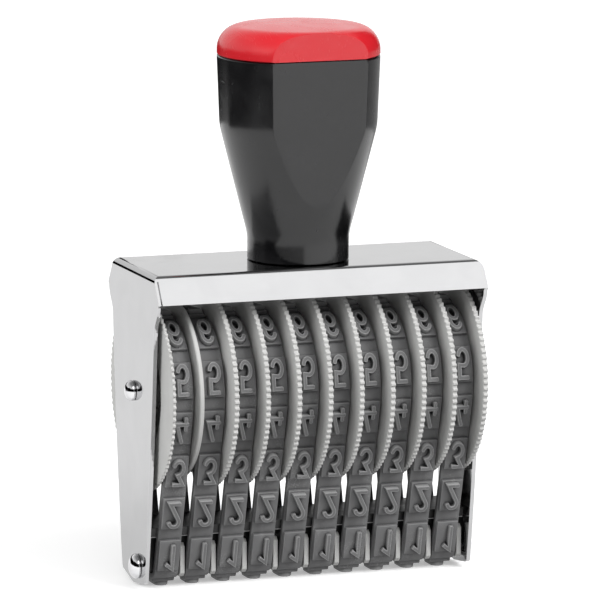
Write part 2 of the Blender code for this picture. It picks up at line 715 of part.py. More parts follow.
def build_screw():
    """The screw from below the top plate into the handle, and its washer."""
    head_top = screw_head_top()
    head_bottom = head_top - SCREW_HEAD_HEIGHT
    screw_end = head_top + SCREW_LENGTH
    radius = SCREW_DIAMETER / 2
    head_radius = SCREW_HEAD_DIAMETER / 2
    profile = [
        (0.0, screw_end),
        (radius, screw_end),
        (radius, head_top),
        (head_radius, head_top),
        (head_radius, head_bottom),
        (0.0, head_bottom),
    ]
    mesh = turned_mesh("handle_screw", profile, ROD_STEPS)
    screw = add_part("handle_screw", mesh, ZINC_STEEL, smooth=True)
    slot_size = (SCREW_HEAD_DIAMETER + CUT_OVERRUN, SCREW_SLOT_WIDTH, 2 * SCREW_SLOT_DEPTH)
    slot = add_cutter("screw_slot", box_mesh("screw_slot", slot_size))
    slot.location.z = head_bottom
    combine(screw, slot, "DIFFERENCE")
    rim = arc((0.0, 0.0), WASHER_DIAMETER / 2, 0.0, 2 * math.pi, ROD_STEPS)[:-1]
    hole = arc((0.0, 0.0), radius + CLEARANCE, 0.0, 2 * math.pi, ROD_STEPS)[:-1]
    mesh = outline_mesh("handle_washer", [rim, hole], WASHER_THICKNESS)
    washer = add_part("handle_washer", mesh, ZINC_STEEL)
    washer.location.z = WASHER_Z + WASHER_THICKNESS / 2


def build_stamp():
    path = BandPath()
    build_frame()
    build_axle()
    build_wheels()
    build_spacer()
    build_bands(path)
    build_bridge(path)
    build_guides()
    build_handle()
    build_screw()


build_stamp()
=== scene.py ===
import math
import random

import bmesh
import bpy
from mathutils import Matrix, Quaternion, Vector


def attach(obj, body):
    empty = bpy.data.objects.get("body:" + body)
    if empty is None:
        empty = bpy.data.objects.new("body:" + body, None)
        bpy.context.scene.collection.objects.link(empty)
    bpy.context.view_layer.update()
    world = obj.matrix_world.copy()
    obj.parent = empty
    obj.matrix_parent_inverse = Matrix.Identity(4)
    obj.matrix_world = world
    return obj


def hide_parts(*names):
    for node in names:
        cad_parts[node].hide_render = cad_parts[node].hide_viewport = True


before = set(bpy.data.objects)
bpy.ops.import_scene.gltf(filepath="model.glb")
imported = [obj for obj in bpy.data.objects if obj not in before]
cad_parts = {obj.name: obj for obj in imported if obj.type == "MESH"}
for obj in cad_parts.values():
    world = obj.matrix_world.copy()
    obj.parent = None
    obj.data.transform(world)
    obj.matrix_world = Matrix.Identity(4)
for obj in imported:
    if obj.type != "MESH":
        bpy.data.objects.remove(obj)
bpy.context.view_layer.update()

MM = 0.001

# Camera, in millimetres and degrees
CAMERA_TARGET = (-4.278, -13.382, 62.400)
CAMERA_AZIMUTH = -19.66
CAMERA_ELEVATION = 9.54
CAMERA_ROLL = 0.18
CAMERA_DISTANCE = 1336.8
CAMERA_LENS = 376.09
CAMERA_SENSOR = 36.0

# Sizes, in millimetres, as in the CAD model
BAND_COUNT = 10
BAND_PITCH = 7.06
BAND_WIDTH = 5.4
BAND_BASE = 1.2
TILE_COUNT = 14
TILE_LENGTH = 7.2
TILE_WIDTH = 4.7
TILE_RISE = 0.75
CHARACTER_RISE = 1.05
PLATEN_HALF_DEPTH = 3.5
PLATEN_BEND = 1.2
INNER_BAND_Z = 3.0
INNER_BAND_RADIUS = 14.9
AXLE_Z = 42.4
WALL = 1.0
END_DISC = 0.6
CHANNEL = 6.06
DRUM_RADIUS = 14.6
WHEEL_TIP_RADIUS = 21.7
KNURL_DEPTH = 0.42
KNURL_COUNT = 100
SPACER_RADIUS = 19.4
BORE_RADIUS = 1.85
INNER_X = 36.2
PLATE_INNER_X = 36.45
SHEET = 1.1
FRAME_HALF_WIDTH = 37.3
TOP_Z = 69.2
TOP_HALF_DEPTH = 13.6
VISOR_HALF_DEPTH = 17.3
VISOR_BOTTOM_Z = 63.4
SEAM_Z = 113.4
SEAM_RADIUS = 17.55
CREASE_Z = 98.2
CREASE_RADIUS = 16.95
NECK_RADIUS = 10.95
NECK_TOP_Z = 74.6
CAP_TOP_Z = 119.8
FACET_DEPTH_AT_SEAM = 13.85
FACET_TIP_DEPTH = 12.807
FACET_TIP_Z = 81.9
HUB_RADIUS = 3.8
RECESS = 0.35
END_RECESS = 4.0
HEAD_HEIGHT = 1.9
AXLE_RADIUS = 1.75
AXLE_NECK_RADIUS = 1.4
AXLE_HEAD_RADIUS = 2.2
AXLE_HOLE_RADIUS = 1.7
RIVET_RADIUS = 0.9
RIVET_HEAD_RADIUS = 2.7
RIVET_HOLE_RADIUS = 1.2
RIVET_GRIP = 4.3
RIVET_Y = -2.8
RIVET_Z = 4.6
RIVET_HOLE_Z = 4.9
HANDLE_FOOT_GAP = 0.12
SCREW_BORE = 2.3
SCREW_BORE_TOP = 84.0
SOCKET_RADIUS = 4.8
SOCKET_DEPTH = 4.3
SPIGOT_RADIUS = 4.5
SPIGOT_LENGTH = 4.0
CAP_GAP = 0.22
CAP_EDGE = 5.1
CAP_CROWN = 0.4
RIGHT_BEND = 2.3
LEFT_BEND = 1.5
SLIT_WIDTH = 0.30
SLIT_X = 36.55
SLIT_START = 12.0
SLIT_REACH = 8.0
SHEET_EDGE = 0.22

CHANCE = random.Random(11)


# The camera
def make_camera():
    data = bpy.data.cameras.new("camera")
    data.sensor_width = CAMERA_SENSOR
    data.lens = CAMERA_LENS
    data.clip_start = 0.05
    data.clip_end = 30.0
    camera = bpy.data.objects.new("camera", data)
    bpy.context.scene.collection.objects.link(camera)
    azimuth = math.radians(CAMERA_AZIMUTH)
    elevation = math.radians(CAMERA_ELEVATION)
    back = Vector((
        math.sin(azimuth) * math.cos(elevation),
        -math.cos(azimuth) * math.cos(elevation),
        math.sin(elevation),
    ))
    camera.location = (Vector(CAMERA_TARGET) + back * CAMERA_DISTANCE) * MM
    camera.rotation_mode = "QUATERNION"
    turn = Quaternion((0.0, 0.0, 1.0), math.radians(CAMERA_ROLL))
    camera.rotation_quaternion = (-back).to_track_quat("-Z", "Y") @ turn
    bpy.context.scene.camera = camera


# Materials
class Surface:
    """A principled material and the few procedural nodes that vary it."""

    def __init__(self, name, colour, roughness, metallic=0.0, **sockets):
        self.material = bpy.data.materials.new(name)
        self.material.use_nodes = True
        self.tree = self.material.node_tree
        self.shader = self.tree.nodes["Principled BSDF"]
        self.shader.inputs["Metallic"].default_value = metallic
        self.shader.inputs["Roughness"].default_value = roughness
        self.shader.inputs["Base Color"].default_value = (*colour, 1.0)
        for socket, value in sockets.items():
            self.shader.inputs[socket.replace("_", " ")].default_value = value
        self.coordinates = self.tree.nodes.new("ShaderNodeTexCoord").outputs["Object"]
        self.normal = None

    def link(self, source, target):
        self.tree.links.new(source, target)

    def noise(self, size_mm, detail=3.0, stretch=(1.0, 1.0, 1.0), shift=0.0, distortion=0.0):
        """Noise with features of about this size; stretch makes them longer along an axis."""
        mapping = self.tree.nodes.new("ShaderNodeMapping")
        mapping.inputs["Scale"].default_value = [1.0 / value for value in stretch]
        mapping.inputs["Location"].default_value = (shift, shift, shift)
        self.link(self.coordinates, mapping.inputs["Vector"])
        noise = self.tree.nodes.new("ShaderNodeTexNoise")
        noise.inputs["Scale"].default_value = 1.0 / (size_mm * MM)
        noise.inputs["Detail"].default_value = detail
        noise.inputs["Distortion"].default_value = distortion
        self.link(mapping.outputs["Vector"], noise.inputs["Vector"])
        return noise.outputs["Fac"]

    def remap(self, source, low, high, to_low, to_high):
        node = self.tree.nodes.new("ShaderNodeMapRange")
        node.inputs["From Min"].default_value = low
        node.inputs["From Max"].default_value = high
        node.inputs["To Min"].default_value = to_low
        node.inputs["To Max"].default_value = to_high
        self.link(source, node.inputs["Value"])
        return node.outputs["Result"]

    def sum(self, first, second, operation="ADD"):
        node = self.tree.nodes.new("ShaderNodeMath")
        node.operation = operation
        self.link(first, node.inputs[0])
        if isinstance(second, float):
            node.inputs[1].default_value = second
        else:
            self.link(second, node.inputs[1])
        return node.outputs["Value"]

    def mix(self, factor, first, second):
        node = self.tree.nodes.new("ShaderNodeMix")
        node.data_type = "RGBA"
        for value, socket in ((first, node.inputs[6]), (second, node.inputs[7])):
            if isinstance(value, tuple):
                socket.default_value = (*value, 1.0)
            else:
                self.link(value, socket)
        self.link(factor, node.inputs[0])
        return node.outputs[2]

    def attribute(self, name):
        node = self.tree.nodes.new("ShaderNodeAttribute")
        node.attribute_name = name
        return node.outputs["Fac"]

    def openness(self, reach_mm):
        """How open the surface is to the air around it: 0 in deep corners, 1 on free faces; used to paint
        shade into corners.
        """
        node = self.tree.nodes.new("ShaderNodeAmbientOcclusion")
        node.inputs["Distance"].default_value = reach_mm * MM
        node.samples = 8
        node.only_local = True
        return node.outputs["AO"]

    def colour(self, source):
        self.link(source, self.shader.inputs["Base Color"])

    def roughness(self, source):
        self.link(source, self.shader.inputs["Roughness"])

    def bump(self, height, depth_mm, strength=1.0):
        node = self.tree.nodes.new("ShaderNodeBump")
        node.inputs["Strength"].default_value = strength
        node.inputs["Distance"].default_value = depth_mm * MM
        self.link(height, node.inputs["Height"])
        if self.normal is not None:
            self.link(self.normal, node.inputs["Normal"])
        self.normal = node.outputs["Normal"]
        self.link(self.normal, self.shader.inputs["Normal"])


def plated(name, bright, dull, smooth, rough):
    """Plated sheet or wire: cloudy smudges, fine lengthways scratches and a slightly wavy face."""
    surface = Surface(name, bright, smooth, metallic=1.0)
    smudge = surface.noise(9.0, 4.0, distortion=0.6)
    scratch = surface.noise(0.35, 2.0, stretch=(1.0, 1.0, 34.0), shift=0.3)
    lines = surface.remap(scratch, 0.60, 0.72, 0.0, 1.0)
    surface.colour(surface.mix(surface.remap(smudge, 0.40, 0.70, 0.0, 1.0), bright, dull))
    base = surface.remap(smudge, 0.30, 0.72, smooth, rough)
    surface.roughness(surface.sum(base, surface.sum(lines, 0.05, "MULTIPLY")))
    surface.bump(surface.noise(14.0, 1.0, shift=0.1), 0.010)
    surface.bump(scratch, 0.0006, 0.6)
    return surface.material


def moulded(name, colour, dusty, smooth, rough, peel_mm=0.8, peel_depth=0.0022, **sockets):
    """Glossy or satin plastic with an orange-peel face, hairline scratches and a little dust."""
    surface = Surface(name, colour, smooth, **sockets)
    cloud = surface.noise(6.0, 5.0, distortion=0.4)
    scratch = surface.noise(0.25, 2.0, stretch=(1.0, 26.0, 5.0), shift=0.7)
    lines = surface.remap(scratch, 0.64, 0.74, 0.0, 1.0)
    tint = surface.mix(surface.remap(cloud, 0.45, 0.75, 0.0, 0.35), colour, dusty)
    surface.colour(surface.mix(surface.sum(lines, 0.06, "MULTIPLY"), tint, dusty))
    base = surface.remap(cloud, 0.30, 0.72, smooth, rough)
    surface.roughness(surface.sum(base, surface.sum(lines, 0.08, "MULTIPLY")))
    surface.bump(surface.noise(peel_mm, 2.0, shift=0.2), peel_depth)
    surface.bump(scratch, 0.0005, 0.5)
    return surface.material


def rubber(name):
    """Moulded rubber: matt, speckled, chalky in patches and paler along worn edges, with painted shade,
    near-black, in deep corners and counters.
    """
    dark, mid, pale = (0.140, 0.140, 0.142), (0.190, 0.190, 0.192), (0.38, 0.38, 0.38)
    surface = Surface(name, mid, 0.62, Specular_IOR_Level=0.35)
    patch = surface.noise(7.0, 4.0, stretch=(1.0, 1.6, 1.6), distortion=0.8)
    grain = surface.noise(0.28, 3.0, shift=0.4)
    tint = surface.mix(surface.remap(patch, 0.35, 0.68, 0.0, 1.0), dark, mid)
    chalk = surface.sum(
        surface.remap(patch, 0.52, 0.68, 0.0, 1.0),
        surface.remap(grain, 0.50, 0.66, 0.0, 0.55),
        "MULTIPLY",
    )
    tint = surface.mix(chalk, tint, pale)
    edge = surface.sum(surface.attribute("edge"), surface.remap(grain, 0.2, 0.7, 0.65, 1.0), "MULTIPLY")
    # Painted shade: the colour goes near-black where ambient occlusion finds deep corners, as in the
    # characters' counters.
    unshaded = surface.remap(surface.openness(1.5), 0.38, 0.86, 0.0, 1.0)
    surface.colour(surface.mix(unshaded, (0.020, 0.020, 0.021), surface.mix(edge, tint, pale)))
    surface.roughness(surface.remap(patch, 0.3, 0.7, 0.52, 0.74))
    surface.bump(surface.noise(1.6, 3.0, shift=0.9), 0.020, 0.7)
    surface.bump(grain, 0.008, 0.8)
    return surface.material


def worn_black_with_painted_highlight(name, ledge_z):
    """Black paint on steel: satin, with rubbed specks and a painted highlight, a pale line along its ledge.
    """
    black, bare_metal_and_highlight = (0.004, 0.004, 0.004), (0.55, 0.55, 0.55)
    surface = Surface(name, black, 0.42)
    grain = surface.noise(0.5, 4.0)
    rub = surface.noise(3.0, 5.0, shift=0.6)
    split = surface.tree.nodes.new("ShaderNodeSeparateXYZ")
    surface.link(surface.coordinates, split.inputs["Vector"])
    off_ledge = surface.sum(surface.sum(split.outputs["Z"], ledge_z * MM, "SUBTRACT"), 0.0, "ABSOLUTE")
    # Painted highlight: a pale grey line along the ledge at ledge_z, where its edge catches the light; the
    # specks below are rubbed paint.
    line = surface.remap(off_ledge, 0.12 * MM, 0.26 * MM, 0.85, 0.0)
    specks = surface.remap(rub, 0.62, 0.72, 0.0, 0.10)
    surface.colour(surface.mix(surface.sum(line, specks, "MAXIMUM"), black, bare_metal_and_highlight))
    surface.roughness(surface.remap(rub, 0.3, 0.7, 0.50, 0.34))
    surface.bump(grain, 0.006, 0.7)
    return surface.material


CHROME = plated("chromed_sheet", (0.44, 0.44, 0.445), (0.42, 0.42, 0.425), 0.06, 0.11)
BRIGHT = plated("bright_steel", (0.70, 0.70, 0.71), (0.60, 0.60, 0.61), 0.06, 0.12)
ZINC = plated("zinc_steel", (0.45, 0.46, 0.48), (0.36, 0.37, 0.39), 0.28, 0.42)
BLACK_STEEL = worn_black_with_painted_highlight("blackened_steel", 11.3)
BLACK = moulded(
    "black_plastic", (0.0045, 0.0045, 0.005), (0.020, 0.020, 0.021), 0.17, 0.25, Specular_IOR_Level=0.50
)
RED = moulded("red_plastic", (0.60, 0.014, 0.022), (0.62, 0.04, 0.045), 0.20, 0.30)
GREY = moulded(
    "light_grey_plastic",
    (0.55, 0.55, 0.54),
    (0.45, 0.45, 0.44),
    0.46,
    0.60,
    peel_mm=0.5,
    peel_depth=0.004,
    Specular_IOR_Level=0.35,
)
RUBBER = rubber("dark_grey_rubber")


# Mesh helpers
def mesh_of(name, points, faces):
    """A mesh from points in millimetres, with its faces turned outwards."""
    mesh = bpy.data.meshes.new(name)
    mesh.from_pydata([tuple(value * MM for value in point) for point in points], [], faces)
    work = bmesh.new()
    work.from_mesh(mesh)
    bmesh.ops.recalc_face_normals(work, faces=work.faces)
    work.to_mesh(mesh)
    work.free()
    return mesh


def add_piece(name, mesh, material, body, nodes, sharp=32.0):
    piece = bpy.data.objects.new(name, mesh)
    bpy.context.scene.collection.objects.link(piece)
    mesh.materials.clear()
    mesh.materials.append(material)
    mesh.shade_smooth()
    mesh.set_sharp_from_angle(angle=math.radians(sharp))
    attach(piece, body)
    if nodes:
        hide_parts(*nodes)
    return piece


def lathe(name, rings, axis, closed=False):
    """Rings of (height, radii) joined in turn. A ring with radii 0 is a single point."""
    steps = max(len(radii) for _, radii in rings)
    points, faces, starts = [], [], []
    for height, radii in rings:
        starts.append((len(points), len(radii)))
        for i, radius in enumerate(radii):
            angle = 2 * math.pi * i / steps
            y, z = radius * math.cos(angle), radius * math.sin(angle)
            points.append((height, y, z) if axis == "X" else (y, z, height))
    pairs = list(zip(starts, starts[1:]))
    if closed:
        pairs.append((starts[-1], starts[0]))
    for (a, count_a), (b, count_b) in pairs:
        for i in range(steps):
            j = (i + 1) % steps
            if count_a == 1:
                faces.append((a, b + i, b + j))
            elif count_b == 1:
                faces.append((a + i, a + j, b))
            else:
                faces.append((a + i, a + j, b + j, b + i))
    return mesh_of(name, points, faces)


def round_rings(profile, steps):
    return [(height, [radius] * (steps if radius else 1)) for radius, height in profile]


def place(piece, matrix):
    """Moves a piece's points, so its object stays at the origin and its material keeps its place."""
    piece.data.transform(matrix)
    piece.data.update()


def arc(centre, radius, start, end, steps):
    turn = [start + (end - start) * i / steps for i in range(steps + 1)]
    return [(centre[0] + radius * math.cos(a), centre[1] + radius * math.sin(a)) for a in turn]


def circle(radius, steps=32):
    """The points of a circle about the origin, without the last one, which would repeat the first."""
    return arc((0.0, 0.0), radius, 0.0, 2 * math.pi * (steps - 1) / steps, steps - 1)


def band_x(index):
    return (index - (BAND_COUNT - 1) / 2) * BAND_PITCH


# Number bands
class Way:
    """The way of a band: a distance from the bottom middle, up the front, gives a point and a normal."""

    def __init__(self):
        self.mid = BAND_BASE / 2
        self.corner_z = INNER_BAND_Z + PLATEN_BEND
        up = AXLE_Z - self.corner_z
        between = math.hypot(PLATEN_HALF_DEPTH, up)
        lean = (INNER_BAND_RADIUS - PLATEN_BEND) / between
        self.tilt = math.asin(lean) - math.atan2(PLATEN_HALF_DEPTH, up)
        self.run = between * math.sqrt(1 - lean**2)
        self.small = PLATEN_BEND + self.mid
        self.large = INNER_BAND_RADIUS + self.mid
        self.bend = self.small * (math.pi / 2 - self.tilt)
        self.wrap = self.large * (math.pi / 2 + self.tilt)
        self.half = PLATEN_HALF_DEPTH + self.bend + self.run + self.wrap

    def at(self, distance, offset):
        """(Y, Z) at this distance along the neutral line and this offset from the inner surface."""
        distance = (distance + self.half) % (2 * self.half) - self.half
        side = -1.0 if distance >= 0 else 1.0
        y, z, normal_y, normal_z = self.front(abs(distance))
        reach = offset - self.mid
        return side * (-y - normal_y * reach), z + normal_z * reach

    def front(self, distance):
        if distance < PLATEN_HALF_DEPTH:
            return -distance, self.corner_z - self.small, 0.0, -1.0
        distance -= PLATEN_HALF_DEPTH
        if distance < self.bend:
            angle = distance / self.small
            normal_y, normal_z = -math.sin(angle), -math.cos(angle)
            return self.corner(normal_y, normal_z)
        distance -= self.bend
        normal_y, normal_z = -math.cos(self.tilt), -math.sin(self.tilt)
        if distance < self.run:
            y, z, _, _ = self.corner(normal_y, normal_z)
            return y + normal_z * distance, z - normal_y * distance, normal_y, normal_z
        angle = self.tilt - (distance - self.run) / self.large
        normal_y, normal_z = -math.cos(angle), -math.sin(angle)
        return self.large * normal_y, AXLE_Z + self.large * normal_z, normal_y, normal_z

    def corner(self, normal_y, normal_z):
        y = self.small * normal_y - PLATEN_HALF_DEPTH
        return y, self.corner_z + self.small * normal_z, normal_y, normal_z

    def stations(self):
        """Distances for the belt's cross-sections, close together where it bends."""
        spans = ((PLATEN_HALF_DEPTH, 4), (self.bend, 8), (self.run, 18), (self.wrap, 34))
        found, start = [0.0], 0.0
        for length, count in spans:
            found += [start + length * (i + 1) / count for i in range(count)]
            start += length
        return found + [-value for value in reversed(found[1:-1])]


def bow(centre, radii, start, end, steps=14):
    """Points on an ellipse between two angles in degrees."""
    points = []
    for i in range(steps + 1):
        angle = math.radians(start + (end - start) * i / steps)
        points.append((centre[0] + radii[0] * math.cos(angle), centre[1] + radii[1] * math.sin(angle)))
    return points


def glyphs():
    """Centre lines of the characters, upright and the right way round, as (points, closed)."""
    nine = [(-x, -y) for x, y in six_line()]
    return [
        [(bow((0, 1.6), (1.05, 1.1), 0, 180) + bow((0, -1.6), (1.05, 1.1), 180, 360), True)],
        [([(-0.75, 1.75), (0.55, 2.7), (0.55, -2.7)], False)],
        [(bow((0, 1.55), (1.05, 1.15), 170, -28) + [(-1.0, -2.7), (1.1, -2.7)], False)],
        [([(-0.95, 2.7), (1.05, 2.7), (-0.05, 0.55)] + bow((-0.05, -1.1), (1.1, 1.6), 78, -160, 18), False)],
        [([(-0.1, 2.7), (-1.3, -1.5), (1.1, -1.5)], False), ([(0.6, -0.2), (0.6, -2.7)], False)],
        [([(0.95, 2.7), (-0.95, 2.7), (-0.95, 0.25)] + bow((0, -1.15), (1.05, 1.55), 105, -165, 20), False)],
        [(six_line(), False)],
        [([(-1.05, 2.7), (1.05, 2.7), (-0.35, -2.7)], False)],
        [(bow((0, 1.5), (0.95, 1.2), -90, 270, 28), True), (bow((0, -1.2), (1.1, 1.5), 90, 450, 28), True)],
        [(nine, False)],
        [],
        [([(0.0, -2.3), (0.0, -2.7)], False)],
        [([(-0.9, 0.0), (0.9, 0.0)], False)],
        [([(0.9, 2.7), (-0.9, -2.7)], False)],
    ]


def six_line():
    hook = bow((0.05, 1.35), (1.05, 1.35), 18, 175, 14)
    return hook + bow((0, -1.05), (1.05, 1.65), 170, 540, 30)


# A stroke's cross-section: (across, height, how worn), from one foot over the top to the other
STROKE_HALF = [
    (0.56, -0.15, 0.0),
    (0.56, 0.0, 0.0),
    (0.41, CHARACTER_RISE - 0.08, 0.8),
    (0.33, CHARACTER_RISE, 0.8),
    (0.20, CHARACTER_RISE, 0.0),
]
STROKE = STROKE_HALF + [(-across, height, worn) for across, height, worn in reversed(STROKE_HALF)]


def stroke_shell(line, closed, lift):
    """A raised stroke along a line: points (across, up, height, worn) and faces."""
    count = len(line)
    rings = []
    for i in range(count):
        here = Vector(line[i])
        before = Vector(line[i - 1]) if i or closed else None
        after = Vector(line[(i + 1) % count]) if i < count - 1 or closed else None
        along_in = (here - before).normalized() if before is not None else (after - here).normalized()
        along_out = (after - here).normalized() if after is not None else along_in
        along = (along_in + along_out).normalized()
        spread = min(1.0 / max(along.dot(along_in), 0.35), 2.2)
        across = Vector((-along.y, along.x))
        if before is None or after is None:
            way = -along if before is None else along
            tip = [(here + way * 0.18, 0.72, True), (here, 1.0, False)]
            inner = (here - way * 0.20, 1.0, False)
            ends = tip + [inner] if before is None else [inner] + tip[::-1]
        else:
            ends = [(here, spread, False)]
        for centre, scale, tipped in ends:
            ring = []
            for reach, height, worn in STROKE:
                point = centre + across * (reach * scale)
                top = height + (lift if height > 0 else 0.0)
                ring.append((point.x, point.y, top, 0.7 if tipped and height > 0.1 else worn))
            rings.append(ring)
    points = [point for ring in rings for point in ring]
    size, total = len(STROKE), len(rings)
    faces = []
    for i in range(total if closed else total - 1):
        j = (i + 1) % total
        for k in range(size):
            m = (k + 1) % size
            faces.append((i * size + k, i * size + m, j * size + m, j * size + k))
    if not closed:
        faces.append(tuple(range(size)))
        faces.append(tuple((total - 1) * size + k for k in reversed(range(size))))
    return points, faces


def tile_shell():
    """A raised tile with softened edges, cut along its length so that it can follow the drum."""
    work = bmesh.new()
    bottom = BAND_BASE - 0.25
    top = BAND_BASE + TILE_RISE
    shape = Matrix.Translation((0.0, 0.0, (top + bottom) / 2))
    shape @= Matrix.Diagonal((TILE_WIDTH, TILE_LENGTH, top - bottom, 1.0))
    bmesh.ops.create_cube(work, size=1, matrix=shape)
    for vert in work.verts:
        if vert.co.z < bottom + 0.01:
            vert.co.x *= 1.06
            vert.co.y *= 1.035
    edges = [edge for edge in work.edges if max(v.co.z for v in edge.verts) > bottom + 0.01]
    bmesh.ops.bevel(work, geom=edges, offset=0.14, segments=2, affect="EDGES", profile=0.5)
    for i in range(1, 8):
        cut = TILE_LENGTH * (i / 8 - 0.5)
        parts = work.verts[:] + work.edges[:] + work.faces[:]
        bmesh.ops.bisect_plane(work, geom=parts, plane_co=(0, cut, 0), plane_no=(0, 1, 0))
    bmesh.ops.recalc_face_normals(work, faces=work.faces)
    work.verts.ensure_lookup_table()
    points = []
    for vert in work.verts:
        worn = 0.5 if top - 0.12 < vert.co.z < top - 0.01 else 0.0
        points.append((vert.co.x, vert.co.y, vert.co.z, worn))
    faces = [tuple(vert.index for vert in face.verts) for face in work.faces]
    work.free()
    return points, faces


def belt_rings(way):
    half = BAND_WIDTH / 2
    soft = 0.16
    section = arc((half - soft, BAND_BASE - soft), soft, 0.0, math.pi / 2, 2)
    section += arc((soft - half, BAND_BASE - soft), soft, math.pi / 2, math.pi, 2)
    section += arc((soft - half, soft), soft, math.pi, 1.5 * math.pi, 2)
    section += arc((half - soft, soft), soft, 1.5 * math.pi, 2 * math.pi, 2)
    points, faces = [], []
    stations = way.stations()
    size = len(section)
    for distance in stations:
        for x, offset in section:
            y, z = way.at(distance, offset)
            points.append((x, y, z, 0.0))
    for i in range(len(stations)):
        j = (i + 1) % len(stations)
        for k in range(size):
            m = (k + 1) % size
            faces.append((i * size + k, i * size + m, j * size + m, j * size + k))
    return points, faces


def build_bands(way):
    belt_points, belt_faces = belt_rings(way)
    tile_points, tile_faces = tile_shell()
    shells = []
    for strokes in glyphs():
        shells.append([stroke_shell(line, closed, 0.006 * i) for i, (line, closed) in enumerate(strokes)])
    pitch = 2 * way.half / TILE_COUNT
    face_top = BAND_BASE + TILE_RISE
    for index in range(BAND_COUNT):
        points, faces = list(belt_points), list(belt_faces)
        for number in range(TILE_COUNT):
            centre = number * pitch
            base = len(points)
            for x, along, offset, worn in tile_points:
                points.append((x, *way.at(centre + along, offset), worn))
            faces += [tuple(base + i for i in face) for face in tile_faces]
            for stroke_points, stroke_faces in shells[number]:
                base = len(points)
                for x, up, height, worn in stroke_points:
                    points.append((x, *way.at(centre - up, face_top + height), worn))
                faces += [tuple(base + i for i in face) for face in stroke_faces]
        shift = band_x(index)
        name = f"rubber_band_{index + 1:02d}"
        mesh = mesh_of(name, [(x + shift, y, z) for x, y, z, _ in points], faces)
        worn_values = mesh.attributes.new("edge", "FLOAT", "POINT")
        worn_values.data.foreach_set("value", [point[3] for point in points])
        add_piece(name, mesh, RUBBER, "stamp", [f"number_band_{index + 1:02d}"])


# Wheels, spacer and axle
def toothed(radius, depth):
    """Radii of a square-toothed rim: each tooth is four points."""
    radii = []
    for _ in range(KNURL_COUNT):
        radii += [radius - depth, radius, radius, radius - depth]
    return radii


def wheel_rings(disc, recess):
    """A wheel's outline from the left end of its bore round to the right and back."""
    steps = 4 * KNURL_COUNT

    def plain(radius):
        return [radius] * steps

    drum_start = 0.3 - CHANNEL / 2
    left = CHANNEL / 2
    right = left + disc
    soft = 0.08
    return [
        (drum_start, plain(BORE_RADIUS)),
        (drum_start, plain(DRUM_RADIUS - 0.2)),
        (drum_start + 0.2, plain(DRUM_RADIUS)),
        (left - 0.25, plain(DRUM_RADIUS)),
        (left, plain(DRUM_RADIUS + 0.25)),
        (left, toothed(WHEEL_TIP_RADIUS - 0.9, 0.0)),
        (left, toothed(WHEEL_TIP_RADIUS - soft, KNURL_DEPTH)),
        (left + soft, toothed(WHEEL_TIP_RADIUS, KNURL_DEPTH)),
        (right - soft, toothed(WHEEL_TIP_RADIUS, KNURL_DEPTH)),
        (right, toothed(WHEEL_TIP_RADIUS - soft, KNURL_DEPTH)),
        (right, toothed(WHEEL_TIP_RADIUS - 0.9, 0.0)),
        (right, plain(DRUM_RADIUS - 1.6)),
        (right - recess, plain(DRUM_RADIUS - 2.0)),
        (right - recess, plain(HUB_RADIUS + 0.4)),
        (right, plain(HUB_RADIUS)),
        (right, plain(BORE_RADIUS)),
    ]


def build_wheels():
    for index in range(BAND_COUNT):
        rings = wheel_rings(WALL, RECESS) if index else wheel_rings(END_DISC, END_RECESS)
        name = f"knurled_wheel_{index + 1:02d}"
        mesh = lathe(name, rings, "X", closed=True)
        turn = Matrix.Rotation(CHANCE.uniform(0.0, 2 * math.pi / KNURL_COUNT), 4, "X")
        if index == 0:
            turn = Matrix.Rotation(math.pi, 4, "Z") @ turn
        mesh.transform(Matrix.Translation((band_x(index) * MM, 0.0, AXLE_Z * MM)) @ turn)
        body = f"wheel_{index + 1:02d}"
        add_piece(name, mesh, GREY, body, [f"setting_wheel_{index + 1:02d}"])


def build_spacer():
    middle = band_x(0) + CHANNEL / 2 + WALL / 2
    low, high, soft = middle - WALL / 2, middle + WALL / 2, 0.2
    rim = SPACER_RADIUS
    left_side = [(BORE_RADIUS, low), (rim - soft, low), (rim, low + soft)]
    right_side = [(rim, high - soft), (rim - soft, high), (BORE_RADIUS, high)]
    profile = left_side + right_side
    mesh = lathe("spacer_ring", round_rings(profile, 160), "X", closed=True)
    mesh.transform(Matrix.Translation((0.0, 0.0, AXLE_Z * MM)))
    add_piece("spacer_ring", mesh, GREY, "stamp", ["spacer_disc"])


def head_profile(base, shank, radius, height):
    """A domed head from its crown to its shank, with a small flat land at its foot."""
    land = 0.3
    dome = [(0.0, base + height)]
    for i in range(1, 13):
        angle = math.pi / 2 * (1 - i / 12)
        dome.append((radius * math.cos(angle), base + land + (height - land) * math.sin(angle)))
    return dome + [(radius - 0.05, base + 0.05), (radius - 0.15, base), (shank, base)]


def build_rods():
    head = FRAME_HALF_WIDTH + 0.05
    shoulder = INNER_X - 0.3
    half = head_profile(head, AXLE_NECK_RADIUS, AXLE_HEAD_RADIUS, HEAD_HEIGHT)
    half += [(AXLE_NECK_RADIUS, shoulder), (AXLE_RADIUS, shoulder)]
    profile = half + [(radius, -x) for radius, x in reversed(half)]
    mesh = lathe("axle_rod", round_rings(profile, 40), "X")
    mesh.transform(Matrix.Translation((0.0, 0.0, AXLE_Z * MM)))
    add_piece("axle_rod", mesh, BRIGHT, "stamp", ["wheel_axle"])
    for name, side in (("right", 1.0), ("left", -1.0)):
        end = INNER_X - RIVET_GRIP
        profile = head_profile(head, RIVET_RADIUS, RIVET_HEAD_RADIUS, HEAD_HEIGHT)
        profile += [(RIVET_RADIUS, end), (0.0, end)]
        rings = [(side * height, radii) for height, radii in round_rings(profile, 40)]
        mesh = lathe(f"rivet_{name}", rings, "X")
        mesh.transform(Matrix.Translation((0.0, RIVET_Y * MM, RIVET_Z * MM)))
        add_piece(f"rivet_{name}", mesh, BRIGHT, "stamp", [f"bridge_rivet_{name}"])


# Handle
def facet_depth(z):
    slope = (FACET_DEPTH_AT_SEAM - FACET_TIP_DEPTH) / (SEAM_Z - FACET_TIP_Z)
    return FACET_TIP_DEPTH + slope * (z - FACET_TIP_Z)


